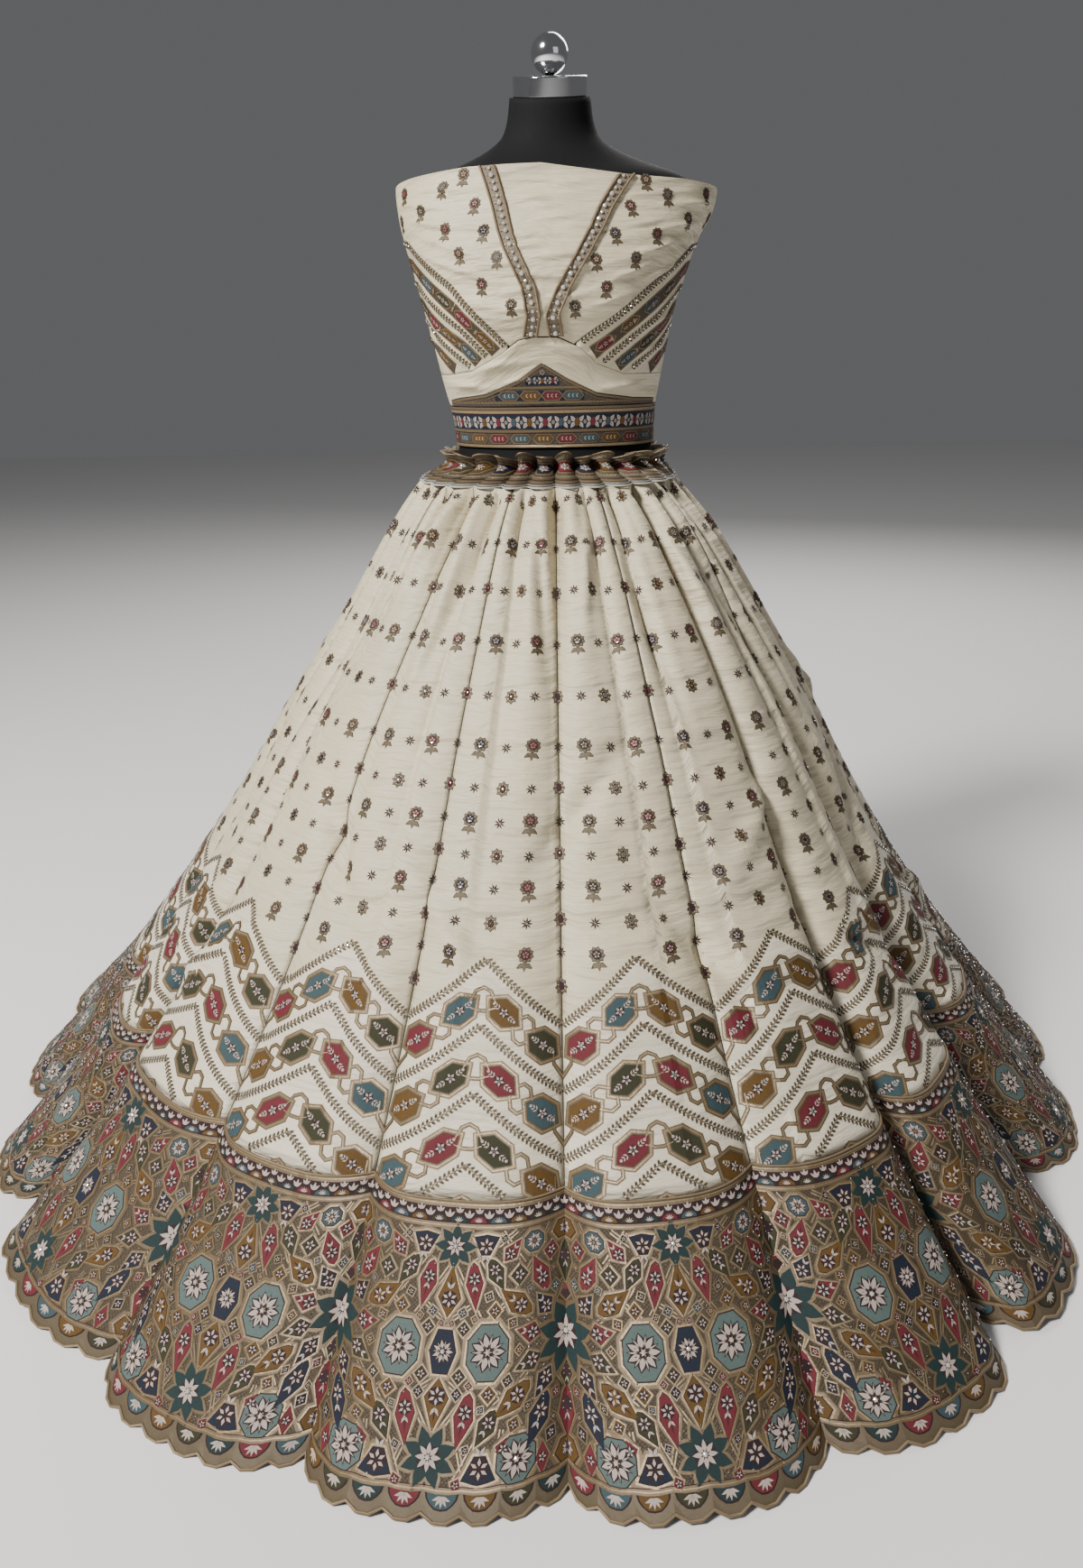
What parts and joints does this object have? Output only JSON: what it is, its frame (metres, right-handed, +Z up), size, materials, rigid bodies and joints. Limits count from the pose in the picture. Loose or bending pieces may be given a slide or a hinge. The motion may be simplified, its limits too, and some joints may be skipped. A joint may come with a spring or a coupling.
{
  "type": "lehenga choli on a dress form",
  "caption": "Gathered, flared lehenga skirt of embroidered kalis with a strapless choli, worn by a limbless dress form on a round-based stand.",
  "frame": {"origin": "centre of the stand base's underside, on the floor", "axes": "+Z up, the garment's front faces -Y, +X to the left hand of the wearer"},
  "size_m": [1.5857, 1.6808, 1.4016],
  "materials": {
    "ivory_silk": "satin",
    "kali_silk": "satin",
    "border_zari": "woven and embroidered",
    "stripe_embroidery": "embroidered",
    "belt_embroidery": "embroidered",
    "stone_trim": "corded and beaded",
    "form_cover": "matte",
    "chrome": "polished",
    "base_paint": "satin"
  },
  "bodies": {
    "root": {"border_01": "border_zari", "border_02": "border_zari", "border_03": "border_zari", "border_04": "border_zari", "border_05": "border_zari", "border_06": "border_zari", "border_07": "border_zari", "border_08": "border_zari", "border_09": "border_zari", "border_10": "border_zari", "border_11": "border_zari", "border_12": "border_zari", "border_13": "border_zari", "border_14": "border_zari", "border_15": "border_zari", "border_16": "border_zari", "border_17": "border_zari", "border_18": "border_zari", "border_19": "border_zari", "border_20": "border_zari", "choli_back_left": "ivory_silk", "choli_back_right": "ivory_silk", "choli_bust_left": "ivory_silk", "choli_bust_right": "ivory_silk", "choli_infill": "ivory_silk", "choli_midriff": "ivory_silk", "choli_side_left": "stripe_embroidery", "choli_side_right": "stripe_embroidery", "dress_form": "form_cover", "finial_ball": "chrome", "kali_01": "kali_silk", "kali_02": "kali_silk", "kali_03": "kali_silk", "kali_04": "kali_silk", "kali_05": "kali_silk", "kali_06": "kali_silk", "kali_07": "kali_silk", "kali_08": "kali_silk", "kali_09": "kali_silk", "kali_10": "kali_silk", "kali_11": "kali_silk", "kali_12": "kali_silk", "kali_13": "kali_silk", "kali_14": "kali_silk", "kali_15": "kali_silk", "kali_16": "kali_silk", "kali_17": "kali_silk", "kali_18": "kali_silk", "kali_19": "kali_silk", "kali_20": "kali_silk", "neck_cap": "chrome", "peak_insert": "belt_embroidery", "stand_base": "base_paint", "stand_pole": "chrome", "trim_left": "stone_trim", "trim_right": "stone_trim", "waist_belt": "belt_embroidery", "waist_casing": "belt_embroidery"}
  },
  "joints": []
}
